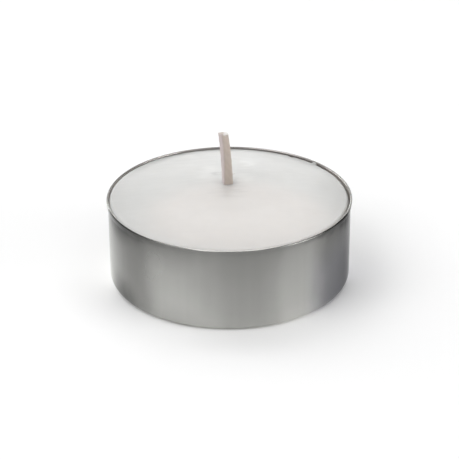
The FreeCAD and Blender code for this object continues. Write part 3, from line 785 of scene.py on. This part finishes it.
def waxed_wick():
    """Closed rings from the wick's foot to its uneven cut, and the loose fibres."""
    row_height = (WICK_TOP - WICK_ROWS_START) / WICK_ROWS
    heights = [0.1 * MM, 3 * MM, 8 * MM, WICK_ROWS_START]
    heights += [WICK_ROWS_START + row_height * row for row in range(1, WICK_ROWS + 1)]
    rings = [wick_ring(height) for height in heights]
    top = rings[-1]
    middle = sum(top, Vector()) / WICK_STEPS
    for share, rise in ((0.93, 0.03), (0.8, 0.05), (0.5, 0.04), (0.2, 0.03)):
        ring = []
        for spot in top:
            place = middle.lerp(spot, share)
            place.z += rise * MM + 0.05 * MM * noise.noise(place / MM * 2.6)
            ring.append(place)
        rings.append(ring)
    points = [tuple(spot) for ring in rings for spot in ring]
    faces = joined_rings(0, len(rings), WICK_STEPS)
    for fibre in FIBRES:
        faces += joined_rings(len(points), FIBRE_ROWS, FIBRE_SIDES)
        points += fibre_points(*fibre)
    mesh = bpy.data.meshes.new("waxed_wick")
    mesh.from_pydata(points, [], faces)
    mesh.shade_smooth()
    mesh.set_sharp_from_angle(angle=math.radians(60))

    # How far each place faces left, for the painted light on the left side.
    painted_left_light = mesh.attributes.new("painted_left_light", "FLOAT", "POINT")
    for vertex, value in zip(mesh.vertices, painted_left_light.data):
        value.value = soft_step(-0.15, 0.95, -vertex.normal.x)
    return mesh


def waxed_cotton():
    """Braided cotton soaked in wax: a warm grey, dull, with the strands just showing, with painted light on
    its left side, and whiter on its cut top, most towards the right."""
    material, tree = new_material("waxed_cotton_braided")
    place = add(tree, "ShaderNodeTexCoord").outputs["Object"]
    spot = add(tree, "ShaderNodeSeparateXYZ", {"Vector": place})

    # At scale 1 a wave texture's bands are a tenth of a full turn, 0.628, apart.
    wave = add(tree, "ShaderNodeTexWave", {
        "Vector": place, "Scale": math.tau / 10 / STRAND_SPACING, "Distortion": 4, "Detail": 2,
        "Detail Scale": 2}, bands_direction="DIAGONAL")
    strands = wave.outputs["Fac"]
    cotton = add(tree, "ShaderNodeMix", {
        "Factor": strands, "A": linear(COTTON_DARK), "B": linear(COTTON_LIGHT)}, data_type="RGBA")
    # Painted light on the side that faces left.
    painted_left_light = add(tree, "ShaderNodeAttribute", attribute_name="painted_left_light")
    sided = add(tree, "ShaderNodeMix", {
        "Factor": painted_left_light.outputs["Fac"], "A": cotton, "B": linear(COTTON_PAINTED_LIGHT)}, data_type="RGBA")
    # Whiter on the cut top, most towards the right.
    top = add(tree, "ShaderNodeMapRange", {
        "Value": spot.outputs["Z"], "From Min": 23.05 * MM, "From Max": 23.25 * MM})
    cut_rightward = add(tree, "ShaderNodeMapRange", {
        "Value": spot.outputs["X"], "From Min": -1.0 * MM, "From Max": -0.62 * MM, "To Min": 0.08,
        "To Max": 1})
    cut = add(tree, "ShaderNodeMath", {0: top, 1: cut_rightward}, operation="MULTIPLY")
    return shaded(material, {
        "Base Color": add(tree, "ShaderNodeMix", {
            "Factor": cut, "A": sided, "B": linear(COTTON_CUT)}, data_type="RGBA"),
        "Roughness": add(tree, "ShaderNodeMapRange", {"Value": strands, "To Min": 0.6, "To Max": 0.48}),
        "Subsurface Weight": 0.3,
        "Subsurface Radius": (1.0, 0.85, 0.7),
        "Subsurface Scale": 0.3 * MM,
        "Normal": add(tree, "ShaderNodeBump", {"Height": strands, "Strength": 0.3, "Distance": 0.02 * MM})})


wick = bpy.data.objects.new("waxed_wick", waxed_wick())
bpy.context.scene.collection.objects.link(wick)
wick.data.materials.append(waxed_cotton())
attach(wick, "root")
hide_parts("wick")

# The studio: a wide white floor under eight soft lamps, five of them large and high and three low.
# The room is dim overhead. Far out the floor glows and the horizon is white, for the background.

FLOOR_COLOUR = "#FAFAFA"
HALF_FLOOR = 3.0
GLOW_STARTS = 0.4
GLOW_FULL = 1.2
LAMP_DISTANCE = 0.9
LAMP_AIM = Vector((0, 0, 0.01))

# Each lamp: name, azimuth from the camera's side towards the right, elevation, size and power.
LAMPS = (
    ("left", 270, 45, (1.2, 0.9), 3.0),
    ("front_left", 315, 40, (0.8, 0.6), 2.7),
    ("front_right", 55, 45, (0.9, 0.7), 1.6),
    ("overhead", 0, 90, (1.2, 1.2), 3.5),
    ("behind", 180, 50, (1.2, 0.8), 3.0),
    ("behind_low", 185, 9, (0.6, 0.22), 0.95),
    ("behind_left_low", 235, 10, (0.5, 0.2), 1.8),
    ("right_low", 70, 10, (0.6, 0.22), 3.7))


def matt_floor():
    """A matt white board. It is lit by the lamps near the candle, and glows by itself far out."""
    material, tree = new_material("studio_floor")
    place = add(tree, "ShaderNodeTexCoord").outputs["Object"]
    reach = add(tree, "ShaderNodeVectorMath", {0: place}, operation="LENGTH")
    return shaded(material, {
        "Base Color": linear(FLOOR_COLOUR),
        "Roughness": 0.9,
        "Emission Color": (1, 1, 1, 1),
        "Emission Strength": add(tree, "ShaderNodeMapRange", {
            "Value": reach, "From Min": GLOW_STARTS, "From Max": GLOW_FULL})})


def softbox(name, azimuth, elevation, size, power):
    """A soft lamp that faces the candle."""
    lamp = bpy.data.lights.new(name, "AREA")
    lamp.shape = "RECTANGLE"
    lamp.size, lamp.size_y = size
    lamp.energy = power
    turn = math.radians(azimuth)
    rise = math.radians(elevation)
    towards = Vector((math.sin(turn) * math.cos(rise), -math.cos(turn) * math.cos(rise), math.sin(rise)))
    carrier = bpy.data.objects.new(name, lamp)
    carrier.location = towards * LAMP_DISTANCE
    carrier.rotation_euler = (LAMP_AIM - carrier.location).to_track_quat("-Z", "Y").to_euler()
    bpy.context.scene.collection.objects.link(carrier)


floor_mesh = bpy.data.meshes.new("studio_floor")
floor_corners = [(HALF_FLOOR * x, HALF_FLOOR * y, 0) for x, y in ((-1, -1), (1, -1), (1, 1), (-1, 1))]
floor_mesh.from_pydata(floor_corners, [], [(0, 1, 2, 3)])
floor = bpy.data.objects.new("studio_floor", floor_mesh)
bpy.context.scene.collection.objects.link(floor)
floor_mesh.materials.append(matt_floor())

for lamp_values in LAMPS:
    softbox(*lamp_values)

world = bpy.data.worlds.new("studio")
bpy.context.scene.world = world
world.use_nodes = True
sky = world.node_tree
background = sky.nodes["Background"]
background.inputs["Color"].default_value = (1, 1, 1, 1)

# White round the horizon where the camera and reflections meet it, and nearly dark for other light.
heading = add(sky, "ShaderNodeTexCoord").outputs["Generated"]
sky_rise = add(sky, "ShaderNodeSeparateXYZ", {"Vector": heading})
horizon = add(sky, "ShaderNodeMapRange", {
    "Value": sky_rise.outputs["Z"], "From Min": 0.21, "From Max": 0.14})
path = add(sky, "ShaderNodeLightPath")
seen = add(sky, "ShaderNodeMath", {0: path.outputs["Is Camera Ray"], 1: path.outputs["Is Glossy Ray"]},
           operation="ADD")
seen = add(sky, "ShaderNodeMath", {0: seen, 1: path.outputs["Is Transmission Ray"]}, operation="ADD",
           use_clamp=True)
white = add(sky, "ShaderNodeMath", {0: seen, 1: horizon, 2: 0.01}, operation="MULTIPLY_ADD")
sky.links.new(white.outputs[0], background.inputs["Strength"])

# The camera looks down at the candle as in the photograph, through a long lens. The picture is
# shifted up by a few pixels, so that the candle stands at the same height in it.

CAMERA_ELEVATION = math.radians(26.55)
CAMERA_ROLL = math.radians(-0.31)
CAMERA_DISTANCE = 0.275
CAMERA_LENS = 137.8
SENSOR_WIDTH = 36
PICTURE_WIDTH = 459
SHIFT_PIXELS = 5.2

aim = Vector((0, 0, CUP_HEIGHT / 2))
back = Vector((0, -math.cos(CAMERA_ELEVATION), math.sin(CAMERA_ELEVATION)))
level_view = (-back).to_track_quat("-Z", "Y")
camera_data = bpy.data.cameras.new("camera")
camera_data.lens = CAMERA_LENS
camera_data.sensor_width = SENSOR_WIDTH
camera_data.shift_y = SHIFT_PIXELS / PICTURE_WIDTH
camera_data.clip_start = 0.01
camera = bpy.data.objects.new("camera", camera_data)
camera.location = aim + back * CAMERA_DISTANCE
camera.rotation_mode = "QUATERNION"
camera.rotation_quaternion = level_view @ Matrix.Rotation(CAMERA_ROLL, 3, "Z").to_quaternion()
bpy.context.scene.collection.objects.link(camera)
bpy.context.scene.camera = camera
bpy.context.scene.view_settings.view_transform = "Standard"
